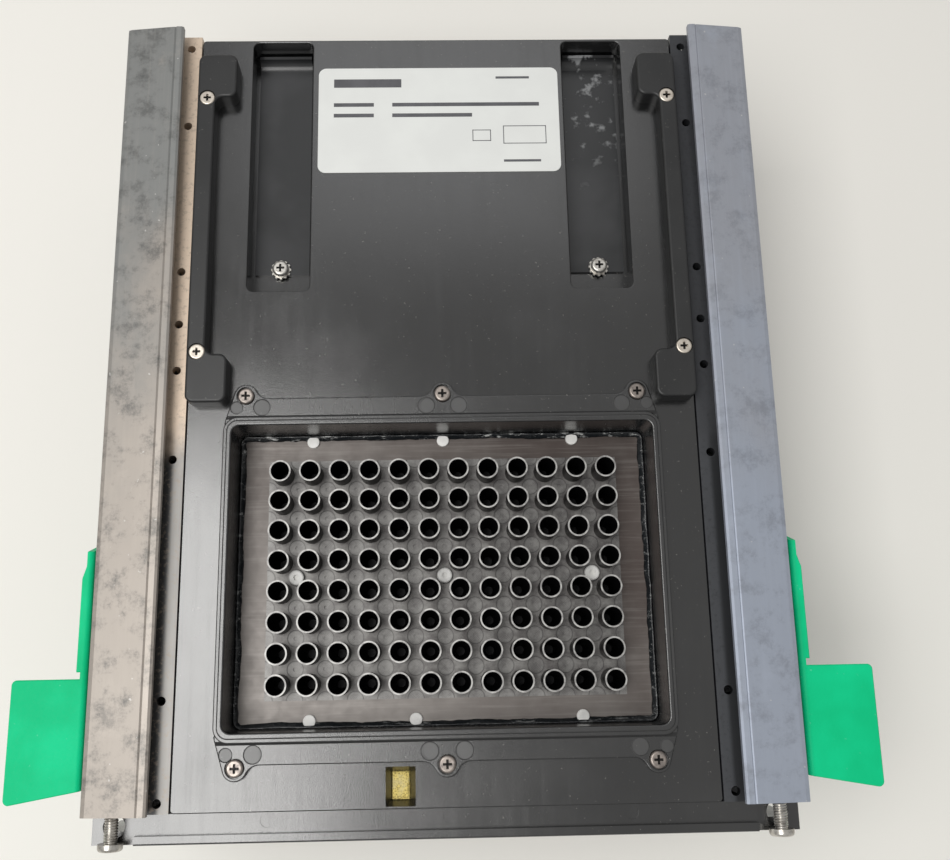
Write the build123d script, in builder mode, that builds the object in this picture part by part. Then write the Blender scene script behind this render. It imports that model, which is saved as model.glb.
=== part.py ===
from build123d import *
import os

# Interchangeable 96-well sample block module of a thermal cycler.
# Millimetres.  X runs across the module, +Y towards its rear edge, +Z up.
# Origin: centre of the module's bounding box, on the plane it rests on.

os.makedirs("parts", exist_ok=True)

# ---------------------------------------------------------------- driving dimensions
module_front = -125.4        # front of the bezel screws
module_rear = 125.4          # rear ends of the side rails
well_y = -51.0               # centre of the well grid
pitch = 9.0                  # standard 96-well spacing
columns, rows = 12, 8

rim_z = 90.0                 # mouths of the wells
tube_height = 9.5            # well sleeves above the block plate
plate_top = rim_z - tube_height
plate_bottom = 74.0
plate_x, plate_y = 130.0, 94.0

deck_top = 94.0
deck_t = 3.0
deck_half = 77.3
deck_front, deck_rear = -116.3, 124.1
skirt_bottom = 86.8

wall_outer_x, wall_outer_y = 131.4, 93.6     # raised wall around the wells
wall_inner_x, wall_inner_y = 126.0, 88.0
wall_top = 98.0
flange_t = 1.8
ear_x, ear_y, ear_r = 59.4, 53.5, 3.6

rail_outer = 101.0
rail_skin = 98.0             # inner face of the rail's outer wall
rail_bottom = 60.0
ledge_inner = 77.6
lip_inner = 82.3
lip_under = 98.4
rail_rear = module_rear
rail_front = deck_front

chassis_half = rail_skin
sheet = 2.0
floor_t = 1.5
chassis_front, chassis_rear = -116.0, 124.0

sink_top = 69.6
sink_base_t = 9.0
sink_half = 88.0
sink_front, sink_rear = well_y - 60.0, well_y + 60.0
fin_bottom = 12.0

pivot_y, pivot_z = -49.0, 76.0
pin_r = 3.0
running_gap = 0.05
lever_inner = 103.0
lever_t = 2.0
paddle_top = 92.0


def well_grid(x=0.0, y=0.0):
    """A point given from the centre of the well grid."""
    return (x, well_y + y)


centre_screw_points = [well_grid(x) for x in (-45, 0, 45)]
edge_screw_points = [well_grid(x, 41.9) for x in (-40.5, 0, 40.5)]
edge_screw_points += [well_grid(x, -41.9) for x in (-40.5, -9, 40.5)]
frame_screw_points = [well_grid(x, y) for x in (-ear_x, 0, ear_x) for y in (-ear_y, ear_y)]

# ---------------------------------------------------------------- sample block
well_r = 2.7
sleeve_r = 3.25
mouth_depth = 2.5
well_depth = 14.5
well_tip_r = 1.3
spot_r = 2.4
spot_depth = 0.2
centre_drill_r = 0.6
centre_screw_r = 1.5
edge_screw_r = 1.2
probe_r = 1.0
probe_depth = 12.0
probe_points = (-27.0, 27.0)

with BuildPart() as sample_block:
    with BuildSketch(Plane.XY.offset(plate_bottom)):
        with Locations(well_grid()):
            RectangleRounded(plate_x, plate_y, 4)
    extrude(amount=plate_top - plate_bottom)
    with BuildSketch(Plane.XY.offset(plate_top)):
        with Locations(well_grid()):
            with GridLocations(pitch, pitch, columns, rows):
                Circle(sleeve_r)
    extrude(amount=tube_height)
    # Machined spot faces with centre drillings, one between every four wells.
    with BuildSketch(Plane.XY.offset(plate_top)):
        with Locations(well_grid()):
            with GridLocations(pitch, pitch, columns - 1, rows - 1):
                Circle(spot_r)
    extrude(amount=-spot_depth, mode=Mode.SUBTRACT)
    with BuildSketch(Plane.XY.offset(plate_top)):
        with Locations(well_grid()):
            with GridLocations(pitch, pitch, columns - 1, rows - 1):
                Circle(centre_drill_r)
    extrude(amount=-3 * spot_depth, mode=Mode.SUBTRACT)
    # Wells: a short straight mouth above a taper.
    with BuildSketch(Plane.XY.offset(rim_z)):
        with Locations(well_grid()):
            with GridLocations(pitch, pitch, columns, rows):
                Circle(well_r)
    extrude(amount=-mouth_depth, mode=Mode.SUBTRACT)
    with Locations((0, well_y, rim_z - mouth_depth)):
        with GridLocations(pitch, pitch, columns, rows):
            Cone(well_tip_r, well_r, well_depth - mouth_depth,
                 align=(Align.CENTER, Align.CENTER, Align.MAX), mode=Mode.SUBTRACT)
    with BuildSketch(Plane.XY.offset(plate_bottom)):
        with Locations(*centre_screw_points):
            Circle(centre_screw_r)
        with Locations(*edge_screw_points):
            Circle(edge_screw_r)
    extrude(amount=plate_top - plate_bottom, mode=Mode.SUBTRACT)
    # Blind bores for the temperature probes, from the rear edge.
    with BuildSketch(Plane.XZ.offset(-(well_y + plate_y / 2))):
        with Locations(*[(x, 77.0) for x in probe_points]):
            Circle(probe_r)
    extrude(amount=probe_depth, mode=Mode.SUBTRACT)
sample_block.part.label = "sample_block"
export_step(sample_block.part, "parts/sample_block.step")

# ---------------------------------------------------------------- block screws
head_r, head_h = 2.35, 2.0
screw_end = 62.5
hex_socket_r = 0.9

with BuildPart() as block_centre_screws:
    with BuildSketch(Plane.XY.offset(screw_end)):
        with Locations(*centre_screw_points):
            Circle(centre_screw_r)
    extrude(amount=plate_top - spot_depth - screw_end)
    with BuildSketch(Plane.XY.offset(plate_top - spot_depth)):
        with Locations(*centre_screw_points):
            Circle(head_r)
    extrude(amount=head_h)
    fillet(block_centre_screws.edges().group_by(Axis.Z)[-1], 0.6)
    with BuildSketch(Plane.XY.offset(plate_top - spot_depth + head_h)):
        with Locations(*centre_screw_points):
            RegularPolygon(hex_socket_r, 6)
    extrude(amount=-1.0, mode=Mode.SUBTRACT)
block_centre_screws.part.label = "block_centre_screws"
export_step(block_centre_screws.part, "parts/block_centre_screws.step")

edge_head_r, edge_head_h = 1.9, 0.9
with BuildPart() as block_edge_screws:
    with BuildSketch(Plane.XY.offset(screw_end)):
        with Locations(*edge_screw_points):
            Circle(edge_screw_r)
    extrude(amount=plate_top - screw_end)
    with BuildSketch(Plane.XY.offset(plate_top)):
        with Locations(*edge_screw_points):
            Circle(edge_head_r)
    extrude(amount=edge_head_h)
    fillet(block_edge_screws.edges().group_by(Axis.Z)[-1], 0.3)
block_edge_screws.part.label = "block_edge_screws"
export_step(block_edge_screws.part, "parts/block_edge_screws.step")

# ---------------------------------------------------------------- sealant bead
bead_w, bead_h = 1.4, 1.2
with BuildPart() as sealant_bead:
    with BuildSketch(Plane.XY.offset(plate_top)):
        with Locations(well_grid()):
            RectangleRounded(wall_inner_x, wall_inner_y, 2.5)
            RectangleRounded(wall_inner_x - 2 * bead_w, wall_inner_y - 2 * bead_w, 1.5,
                             mode=Mode.SUBTRACT)
    extrude(amount=bead_h)
    with BuildSketch(Plane.XY.offset(plate_top)):
        with Locations(*edge_screw_points):
            Circle(edge_head_r + 0.1)
    extrude(amount=bead_h, mode=Mode.SUBTRACT)
sealant_bead.part.label = "sealant_bead"
export_step(sealant_bead.part, "parts/sealant_bead.step")

# ---------------------------------------------------------------- well frame
flange_x, flange_y = 124.0, 105.6
frame_hole_r = 1.5
frame_head_r, frame_head_h = 2.5, 1.6
frame_counterbore = 1.2
flange_top = deck_top + flange_t
ear_root = (64.4, 45.2, 1.2)       # small circle at each corner where an ear's straight side ends
ear_blend_r = 4.0
crest_step, crest_drop = 1.1, 0.9  # the wall's crest stands inside a lower outer ridge
wall_corner_r = 4.4
# Shallow moulding marks on the flange: offset across, radius.
mould_marks = ((-62.0, 1.9), (-54.5, 2.5), (-4.6, 2.3), (5.1, 2.6), (54.6, 2.5), (62.2, 1.9))
mark_y = 49.9
mark_depth = 0.3


def beside_wells(edge):
    """True for an edge on the inner face of the wall around the wells."""
    middle = edge.center()
    inside_x = abs(middle.X) < wall_inner_x / 2 + 0.01
    return inside_x and abs(middle.Y - well_y) < wall_inner_y / 2 + 0.01


with BuildPart() as well_frame:
    with BuildSketch(Plane.XY.offset(deck_top)) as flange_outline:
        with Locations(well_grid()):
            Rectangle(flange_x, flange_y)
        for side_x in (-1, 1):
            for side_y in (-1, 1):
                with BuildSketch():
                    with Locations(well_grid(side_x * ear_x, side_y * ear_y)):
                        Circle(ear_r)
                    with Locations(well_grid(side_x * ear_root[0], side_y * ear_root[1])):
                        Circle(ear_root[2])
                    make_hull()
        with Locations(well_grid(0, -ear_y), well_grid(0, ear_y)):
            Circle(ear_r)
        blends = flange_outline.vertices().filter_by(
            lambda v: abs(abs(v.Y - well_y) - flange_y / 2) < 0.01)
        fillet(blends, ear_blend_r)
    extrude(amount=flange_t)
    fillet(well_frame.edges().group_by(Axis.Z)[-1], 0.4)
    # Outer ridge, then the crest inside it.
    with BuildSketch(Plane.XY.offset(plate_top)):
        with Locations(well_grid()):
            RectangleRounded(wall_outer_x, wall_outer_y, wall_corner_r)
    extrude(amount=wall_top - crest_drop - plate_top)
    fillet(well_frame.edges().group_by(Axis.Z)[-1], 0.4)
    with BuildSketch(Plane.XY.offset(plate_top)):
        with Locations(well_grid()):
            RectangleRounded(wall_outer_x - 2 * crest_step, wall_outer_y - 2 * crest_step,
                             wall_corner_r - crest_step)
    extrude(amount=wall_top - plate_top)
    fillet(well_frame.edges().group_by(Axis.Z)[-1], 0.5)
    with BuildSketch(Plane.XY.offset(plate_top)):
        with Locations(well_grid()):
            RectangleRounded(wall_inner_x, wall_inner_y, 2.5)
    extrude(amount=wall_top - plate_top, mode=Mode.SUBTRACT)
    fillet(well_frame.edges().group_by(Axis.Z)[-1].filter_by(beside_wells), 0.5)
    with BuildSketch(Plane.XY.offset(flange_top)):
        for side in (-1, 1):
            for mark_x, mark_r in mould_marks:
                with Locations(well_grid(mark_x, side * mark_y)):
                    Circle(mark_r)
    extrude(amount=-mark_depth, mode=Mode.SUBTRACT)
    with BuildSketch(Plane.XY.offset(flange_top)):
        with Locations(*frame_screw_points):
            Circle(frame_head_r + 0.35)
    extrude(amount=-frame_counterbore, mode=Mode.SUBTRACT)
    with BuildSketch(Plane.XY.offset(deck_top)):
        with Locations(*frame_screw_points):
            Circle(frame_hole_r)
    extrude(amount=flange_t, mode=Mode.SUBTRACT)
well_frame.part.label = "well_frame"
export_step(well_frame.part, "parts/well_frame.step")

frame_screw_end = 85.0
with BuildPart() as frame_screws:
    with BuildSketch(Plane.XY.offset(frame_screw_end)):
        with Locations(*frame_screw_points):
            Circle(frame_hole_r)
    extrude(amount=flange_top - frame_counterbore - frame_screw_end)
    with BuildSketch(Plane.XY.offset(flange_top - frame_counterbore)):
        with Locations(*frame_screw_points):
            Circle(frame_head_r)
    extrude(amount=frame_head_h)
    fillet(frame_screws.edges().group_by(Axis.Z)[-1], 0.7)
    # Crossed drive recess.
    with BuildSketch(Plane.XY.offset(flange_top - frame_counterbore + frame_head_h)):
        with Locations(*frame_screw_points):
            Rectangle(2.6, 0.6)
            Rectangle(0.6, 2.6)
    extrude(amount=-1.0, mode=Mode.SUBTRACT)
frame_screws.part.label = "frame_screws"
export_step(frame_screws.part, "parts/frame_screws.step")

# ---------------------------------------------------------------- deck panel
skirt_t = 2.5
deck_bottom = deck_top - deck_t
deck_length = deck_rear - deck_front
deck_mid = (deck_rear + deck_front) / 2
pocket_x, pocket_half = 50.8, 9.8
pocket_front, pocket_rear = 36.5, 123.2
pocket_floor = 82.5
pocket_wall = 1.8
pocket_mid = (pocket_front + pocket_rear) / 2
window_x, window_y = -13.2, -110.3
window_size = (8.4, 10.6)
pad_size = (5.4, 8.0)
pad_bottom, pad_top = 88.2, 91.2
boss_r = 4.0
boss_bottom = 84.2
bracket_screw_points = [(s * 73.8, y) for s in (-1, 1) for y in (15.4, 99.9)]
deck_screw_points = [(s * 72.6, y) for s in (-1, 1) for y in (-106.0, -35.0, 50.0, 114.0)]
strip_screw_points = [(s * 51.4, 47.2) for s in (-1, 1)]
deck_screw_r = 1.3

with BuildPart() as deck_panel:
    with BuildSketch(Plane.XY.offset(skirt_bottom)):
        with Locations((0, deck_mid)):
            RectangleRounded(2 * deck_half, deck_length, 1.2)
    extrude(amount=deck_top - skirt_bottom)
    with BuildSketch(Plane.XY.offset(skirt_bottom)):
        with Locations((0, deck_mid)):
            Rectangle(2 * (deck_half - skirt_t), deck_length - 2 * skirt_t)
    extrude(amount=deck_bottom - skirt_bottom, mode=Mode.SUBTRACT)
    # Pocket tubs, screw bosses and the window seat hang below the panel.
    with BuildSketch(Plane.XY.offset(pocket_floor - pocket_wall)):
        with Locations((-pocket_x, pocket_mid), (pocket_x, pocket_mid)):
            RectangleRounded(2 * (pocket_half + pocket_wall),
                             pocket_rear - pocket_front + 2 * pocket_wall - 1.8, 3)
    extrude(amount=deck_bottom - pocket_floor + pocket_wall)
    with BuildSketch(Plane.XY.offset(boss_bottom)):
        with Locations(*frame_screw_points):
            Circle(boss_r)
        with Locations((window_x, window_y)):
            Rectangle(window_size[0] + 2, window_size[1] - 0.6)
    extrude(amount=deck_bottom - boss_bottom)
    with BuildSketch(Plane.XY.offset(skirt_bottom)):
        with Locations(*deck_screw_points):
            Circle(3.0)
        with Locations(*bracket_screw_points):
            Circle(3.0)
    extrude(amount=deck_bottom - skirt_bottom)
    with BuildSketch(Plane.XY.offset(pocket_floor)):
        with Locations((-pocket_x, pocket_mid), (pocket_x, pocket_mid)):
            RectangleRounded(2 * pocket_half, pocket_rear - pocket_front, 2)
    extrude(amount=deck_top - pocket_floor, mode=Mode.SUBTRACT)
    fillet(deck_panel.edges().group_by(Axis.Z)[-1], 0.35)
    # Opening for the wall around the wells.
    with BuildSketch(Plane.XY.offset(deck_bottom)):
        with Locations(well_grid()):
            RectangleRounded(wall_outer_x + 0.6, wall_outer_y + 0.6, wall_corner_r + 0.3)
    extrude(amount=deck_t, mode=Mode.SUBTRACT)
    # Window with bevelled sides above the foam pad's seat.
    with BuildSketch(Plane.XY.offset(pad_bottom)):
        with Locations((window_x, window_y)):
            Rectangle(*pad_size)
    extrude(amount=deck_top - pad_bottom, mode=Mode.SUBTRACT)
    with BuildSketch(Plane.XY.offset(pad_top)):
        with Locations((window_x, window_y)):
            Rectangle(*pad_size)
    with BuildSketch(Plane.XY.offset(deck_top)):
        with Locations((window_x, window_y)):
            Rectangle(*window_size)
    loft(mode=Mode.SUBTRACT)
    # Pilot holes.
    with BuildSketch(Plane.XY.offset(boss_bottom)):
        with Locations(*frame_screw_points):
            Circle(frame_hole_r)
    extrude(amount=deck_top - boss_bottom, mode=Mode.SUBTRACT)
    with BuildSketch(Plane.XY.offset(skirt_bottom)):
        with Locations(*bracket_screw_points):
            Circle(deck_screw_r)
    extrude(amount=deck_top - skirt_bottom, mode=Mode.SUBTRACT)
    with BuildSketch(Plane.XY.offset(skirt_bottom)):
        with Locations(*deck_screw_points):
            Circle(deck_screw_r)
    extrude(amount=4.5, mode=Mode.SUBTRACT)
    with BuildSketch(Plane.XY.offset(pocket_floor - pocket_wall)):
        with Locations(*strip_screw_points):
            Circle(deck_screw_r)
    extrude(amount=pocket_wall, mode=Mode.SUBTRACT)
deck_panel.part.label = "deck_panel"
export_step(deck_panel.part, "parts/deck_panel.step")

with BuildPart() as window_pad:
    with BuildSketch(Plane.XY.offset(pad_bottom)):
        with Locations((window_x, window_y)):
            Rectangle(*pad_size)
            Ellipse(1.3, 2.7, mode=Mode.SUBTRACT)
    extrude(amount=pad_top - pad_bottom)
window_pad.part.label = "window_pad"
export_step(window_pad.part, "parts/window_pad.step")

label_size = (78.4, 37.2)
with BuildPart() as rating_label:
    with BuildSketch(Plane.XY.offset(deck_top)):
        with Locations((0.2, 94.9)):
            RectangleRounded(*label_size, 2.5)
    extrude(amount=0.25)
rating_label.part.label = "rating_label"
export_step(rating_label.part, "parts/rating_label.step")

# ---------------------------------------------------------------- pocket strips
strip_half = 8.7
strip_front, strip_rear = 45.6, 122.6
strip_t = 1.0
strip_upturn = 4.0

with BuildPart() as right_pocket_strip:
    with BuildSketch(Plane.YZ.offset(pocket_x + 0.3 - strip_half)):
        with BuildLine():
            rear_arc = CenterArc((strip_rear - strip_upturn, pocket_floor + strip_upturn),
                                 strip_upturn, 270, 90)
            inner_arc = CenterArc((strip_rear - strip_upturn, pocket_floor + strip_upturn),
                                  strip_upturn - strip_t, 270, 90)
            Line(rear_arc @ 1, inner_arc @ 1)
            Polyline(inner_arc @ 0, (strip_front, pocket_floor + strip_t),
                     (strip_front, pocket_floor), rear_arc @ 0)
        make_face()
    extrude(amount=2 * strip_half)
    with BuildSketch(Plane.XY.offset(pocket_floor)):
        with Locations(strip_screw_points[1]):
            Circle(1.4)
    extrude(amount=strip_t, mode=Mode.SUBTRACT)
right_pocket_strip.part.label = "right_pocket_strip"
export_step(right_pocket_strip.part, "parts/right_pocket_strip.step")

with BuildPart() as left_pocket_strip:
    mirror(right_pocket_strip.part, about=Plane.YZ)
left_pocket_strip.part.label = "left_pocket_strip"
export_step(left_pocket_strip.part, "parts/left_pocket_strip.step")

washer_r, washer_t = 3.2, 0.8
washer_bottom = pocket_floor + strip_t
with BuildPart() as strip_lock_washers:
    with BuildSketch(Plane.XY.offset(washer_bottom)):
        with Locations(*strip_screw_points):
            Circle(washer_r - 0.4)
            with PolarLocations(washer_r - 0.4, 12):
                Rectangle(0.8, 0.7)
            Circle(deck_screw_r, mode=Mode.SUBTRACT)
    extrude(amount=washer_t)
strip_lock_washers.part.label = "strip_lock_washers"
export_step(strip_lock_washers.part, "parts/strip_lock_washers.step")

with BuildPart() as strip_screws:
    with BuildSketch(Plane.XY.offset(pocket_floor - pocket_wall)):
        with Locations(*strip_screw_points):
            Circle(deck_screw_r)
    extrude(amount=pocket_wall + strip_t + washer_t)
    with BuildSketch(Plane.XY.offset(washer_bottom + washer_t)):
        with Locations(*strip_screw_points):
            Circle(2.6)
    extrude(amount=2.0)
    fillet(strip_screws.edges().group_by(Axis.Z)[-1], 0.9)
    with BuildSketch(Plane.XY.offset(washer_bottom + washer_t + 2.0)):
        with Locations(*strip_screw_points):
            Rectangle(2.6, 0.6)
            Rectangle(0.6, 2.6)
    extrude(amount=-1.0, mode=Mode.SUBTRACT)
strip_screws.part.label = "strip_screws"
export_step(strip_screws.part, "parts/strip_screws.step")

# ---------------------------------------------------------------- guide brackets
bracket_h = 6.5
bracket_in, bracket_mid_x, bracket_out = 64.6, 71.3, 76.9
bracket_front, bracket_rear = -0.3, 115.3
tab_length = 15.0
bracket_top = deck_top + bracket_h

with BuildPart() as right_guide_bracket:
    with BuildSketch(Plane.XY.offset(deck_top)):
        with BuildLine():
            Polyline((bracket_out, bracket_front), (bracket_out, bracket_rear),
                     (bracket_in, bracket_rear), (bracket_in, bracket_rear - tab_length),
                     (bracket_mid_x, bracket_rear - tab_length),
                     (bracket_mid_x, bracket_front + tab_length),
                     (bracket_in, bracket_front + tab_length),
                     (bracket_in, bracket_front), close=True)
        make_face()
    extrude(amount=bracket_h)
    fillet(right_guide_bracket.edges().filter_by(Axis.Z), 2.5)
    fillet(right_guide_bracket.edges().group_by(Axis.Z)[-1], 0.8)
    with BuildSketch(Plane.XY.offset(bracket_top)):
        with Locations(*bracket_screw_points[2:]):
            Circle(2.6)
    extrude(amount=-1.6, mode=Mode.SUBTRACT)
    with BuildSketch(Plane.XY.offset(deck_top)):
        with Locations(*bracket_screw_points[2:]):
            Circle(deck_screw_r)
    extrude(amount=bracket_h, mode=Mode.SUBTRACT)
right_guide_bracket.part.label = "right_guide_bracket"
export_step(right_guide_bracket.part, "parts/right_guide_bracket.step")

with BuildPart() as left_guide_bracket:
    mirror(right_guide_bracket.part, about=Plane.YZ)
left_guide_bracket.part.label = "left_guide_bracket"
export_step(left_guide_bracket.part, "parts/left_guide_bracket.step")

with BuildPart() as bracket_screws:
    with BuildSketch(Plane.XY.offset(skirt_bottom)):
        with Locations(*bracket_screw_points):
            Circle(deck_screw_r)
    extrude(amount=bracket_top - 1.6 - skirt_bottom)
    with BuildSketch(Plane.XY.offset(bracket_top - 1.6)):
        with Locations(*bracket_screw_points):
            Circle(2.5)
    extrude(amount=1.5)
    fillet(bracket_screws.edges().group_by(Axis.Z)[-1], 0.6)
    with BuildSketch(Plane.XY.offset(bracket_top - 0.1)):
        with Locations(*bracket_screw_points):
            Rectangle(2.4, 0.6)
            Rectangle(0.6, 2.4)
    extrude(amount=-0.9, mode=Mode.SUBTRACT)
bracket_screws.part.label = "bracket_screws"
export_step(bracket_screws.part, "parts/bracket_screws.step")

# ---------------------------------------------------------------- side rails
rail_length = rail_rear - rail_front
shelf_inner, shelf_bottom = 69.0, 84.0
ledge_holes = [well_grid(81.0, y)[1] for y in (172.0, 144.2, 94.2, 77.0, 62.2, 34.6, -35.0, -62.5)]
ledge_hole_x = 81.0
ledge_hole_r = 1.3
side_screw_points = [(y, 66.0) for y in (-105.0, 10.0, 65.0, 115.0)]
end_screw_x, end_screw_z = 92.8, 95.0
end_screw_r = 1.65
stop_y, stop_z, stop_r = -100.0, 79.8, 2.0

with BuildPart() as right_rail:
    with BuildSketch(Plane.XZ.offset(-rail_rear)):
        with BuildLine():
            Polyline((ledge_inner, deck_top), (84.5, deck_top), (84.5, lip_under),
                     (lip_inner, lip_under), (lip_inner, 100.2), (83.0, 100.6),
                     (84.6, 100.6), (84.9, 100.2), (85.3, 100.4), (99.4, 98.6),
                     (100.6, 98.1), (rail_outer, 97.0), (rail_outer, rail_bottom),
                     (rail_skin, rail_bottom), (rail_skin, 91.0), (82.0, 91.0),
                     (82.0, shelf_bottom), (shelf_inner, shelf_bottom),
                     (shelf_inner, skirt_bottom), (ledge_inner, skirt_bottom), close=True)
        make_face()
    extrude(amount=rail_length)
    with BuildSketch(Plane.XY.offset(shelf_bottom)):
        with Locations(*[(ledge_hole_x, y) for y in ledge_holes]):
            Circle(ledge_hole_r)
        with Locations(*deck_screw_points[4:]):
            Circle(deck_screw_r)
    extrude(amount=deck_top - shelf_bottom, mode=Mode.SUBTRACT)
    with BuildSketch(Plane.YZ.offset(rail_skin)):
        with Locations(*side_screw_points):
            Circle(1.6)
        with Locations((pivot_y, pivot_z)):
            Circle(pin_r)
        with Locations((stop_y, stop_z)):
            Circle(stop_r - 0.5)
    extrude(amount=rail_outer - rail_skin, mode=Mode.SUBTRACT)
    with BuildSketch(Plane.XZ.offset(-rail_front)):
        with Locations((end_screw_x, end_screw_z)):
            Circle(end_screw_r)
    extrude(amount=-14, mode=Mode.SUBTRACT)
right_rail.part.label = "right_rail"
export_step(right_rail.part, "parts/right_rail.step")

with BuildPart() as left_rail:
    mirror(right_rail.part, about=Plane.YZ)
left_rail.part.label = "left_rail"
export_step(left_rail.part, "parts/left_rail.step")

# Long shouldered screws stand out of the rails' front ends.
end_head_r, end_head_h = 3.45, 2.0
end_head_y = module_front + end_head_h
with BuildPart() as rail_end_screws:
    with BuildSketch(Plane.XZ.offset(-(rail_front + 14))):
        with Locations((-end_screw_x, end_screw_z), (end_screw_x, end_screw_z)):
            Circle(end_screw_r)
    extrude(amount=rail_front + 14 - end_head_y)
    with BuildSketch(Plane.XZ.offset(-end_head_y)):
        with Locations((-end_screw_x, end_screw_z), (end_screw_x, end_screw_z)):
            Circle(end_head_r)
    extrude(amount=end_head_h)
    fillet(rail_end_screws.edges().group_by(Axis.Y)[0], 0.9)
    with BuildSketch(Plane.XZ.offset(-module_front)):
        with Locations((-end_screw_x, end_screw_z), (end_screw_x, end_screw_z)):
            Rectangle(3.6, 0.8)
            Rectangle(0.8, 3.6)
    extrude(amount=-1.1, mode=Mode.SUBTRACT)
rail_end_screws.part.label = "rail_end_screws"
export_step(rail_end_screws.part, "parts/rail_end_screws.step")

with BuildPart() as rail_side_screws:
    with BuildSketch(Plane.YZ.offset(rail_skin - sheet)):
        with Locations(*side_screw_points):
            Circle(1.6)
    extrude(amount=rail_outer - rail_skin + sheet)
    with BuildSketch(Plane.YZ.offset(rail_outer)):
        with Locations(*side_screw_points):
            Circle(3.0)
    extrude(amount=1.4)
    fillet(rail_side_screws.edges().group_by(Axis.X)[-1], 0.7)
    with BuildSketch(Plane.YZ.offset(rail_outer + 1.4)):
        with Locations(*side_screw_points):
            Rectangle(2.8, 0.7)
            Rectangle(0.7, 2.8)
    extrude(amount=-0.8, mode=Mode.SUBTRACT)
    mirror(about=Plane.YZ)
rail_side_screws.part.label = "rail_side_screws"
export_step(rail_side_screws.part, "parts/rail_side_screws.step")

with BuildPart() as deck_screws:
    with BuildSketch(Plane.XY.offset(shelf_bottom)):
        with Locations(*deck_screw_points):
            Circle(deck_screw_r)
    extrude(amount=skirt_bottom + 4.5 - shelf_bottom)
    with BuildSketch(Plane.XY.offset(shelf_bottom)):
        with Locations(*deck_screw_points):
            Circle(2.5)
    extrude(amount=-1.6)
deck_screws.part.label = "deck_screws"
export_step(deck_screws.part, "parts/deck_screws.step")

# ---------------------------------------------------------------- front bezel
bezel_half = 99.2
bezel_front = -124.4
bezel_top = 93.0
bezel_corner_top = 90.9
bezel_bottom = 62.0
bezel_wall = 3.0
lip_half, lip_w, lip_rise = 87.0, 2.4, 0.7
plug_points = [(-50.4, -118.5), (0.6, -118.5), (51.5, -118.5)]
corner_hole = (93.2, -119.6)

with BuildPart() as front_bezel:
    with BuildSketch(Plane.YZ.offset(-bezel_half)):
        with BuildLine():
            Polyline((bezel_front, bezel_bottom), (bezel_front, bezel_top),
                     (deck_front, bezel_top), (deck_front, bezel_top - 2 * bezel_wall),
                     (bezel_front + bezel_wall, bezel_top - 2 * bezel_wall),
                     (bezel_front + bezel_wall, bezel_bottom), close=True)
        make_face()
    extrude(amount=2 * bezel_half)
    with BuildSketch(Plane.XY.offset(bezel_top)):
        with Locations((0, bezel_front + lip_w / 2)):
            Rectangle(2 * lip_half, lip_w)
    extrude(amount=lip_rise)
    # Groove behind the lip, and lowered corners below the end screws.
    with BuildSketch(Plane.XY.offset(bezel_top)):
        with Locations((0, bezel_front + lip_w + 0.4)):
            Rectangle(2 * bezel_half, 0.8)
    extrude(amount=-0.8, mode=Mode.SUBTRACT)
    with BuildSketch(Plane.XY.offset(bezel_corner_top)):
        for side in (-1, 1):
            with Locations((side * (lip_half + 8), (bezel_front + deck_front) / 2)):
                Rectangle(16, deck_front - bezel_front)
    extrude(amount=bezel_top - bezel_corner_top, mode=Mode.SUBTRACT)
    with BuildSketch(Plane.XY.offset(bezel_top)):
        with Locations(*plug_points):
            Circle(1.95)
    extrude(amount=-0.25, mode=Mode.SUBTRACT)
    with BuildSketch(Plane.XY.offset(bezel_top - 2 * bezel_wall)):
        with Locations(corner_hole, (-corner_hole[0], corner_hole[1])):
            Circle(3.1)
    extrude(amount=2 * bezel_wall, mode=Mode.SUBTRACT)
    fillet(front_bezel.edges().filter_by(Axis.X).group_by(Axis.Y)[0].group_by(Axis.Z)[-1], 0.6)
front_bezel.part.label = "front_bezel"
export_step(front_bezel.part, "parts/front_bezel.step")

# ---------------------------------------------------------------- release levers
flange_out = 106.2
paddle_out = 124.3
paddle_rear = -79.5
notch_rear, notch_x = -77.6, 105.0
paddle_front_in, paddle_front_out = -110.0, -113.7
web_bottom = 82.0

with BuildPart() as right_release_lever:
    with BuildSketch(Plane.YZ.offset(lever_inner)):
        with BuildLine():
            Polyline((paddle_front_in, paddle_top), (-43.2, paddle_top), (-40.5, 82.0),
                     (-43.0, 69.0), (-50.0, 66.0), (-57.5, 71.0), (-84.0, web_bottom),
                     (paddle_front_in + 3.0, web_bottom), close=True)
        make_face()
        # Latch hook below the pivot.
        with BuildLine():
            Polyline((-44.5, 72.0), (-43.4, 61.5), (-45.0, 57.5), (-54.0, 57.5),
                     (-54.0, 60.0), (-50.0, 61.5), (-52.5, 70.0), close=True)
        make_face()
        with Locations((pivot_y, pivot_z)):
            Circle(8.5)
            Circle(pin_r + running_gap, mode=Mode.SUBTRACT)
    extrude(amount=lever_t)
    with BuildSketch(Plane.XY.offset(paddle_top)):
        with BuildLine():
            Polyline((lever_inner, -43.2), (103.8, -43.2), (flange_out, -51.0),
                     (flange_out, notch_rear), (notch_x, notch_rear), (notch_x, paddle_rear),
                     (paddle_out, paddle_rear), (paddle_out, paddle_front_out),
                     (lever_inner, paddle_front_in), close=True)
        make_face()
    extrude(amount=-lever_t)
    paddle_corners = right_release_lever.edges().filter_by(Axis.Z).group_by(Axis.X)[-1]
    fillet(paddle_corners, 1.5)
    bend = right_release_lever.edges().filter_by(Axis.Y).group_by(Axis.Z)[-1].sort_by(Axis.X)[0]
    fillet(bend, 1.6)
    rim = right_release_lever.edges().group_by(Axis.Z)[-1].filter_by(
        lambda e: e.center().X > lever_inner + lever_t)
    chamfer(rim, 0.3)
right_release_lever.part.label = "right_release_lever"
export_step(right_release_lever.part, "parts/right_release_lever.step")

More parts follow.
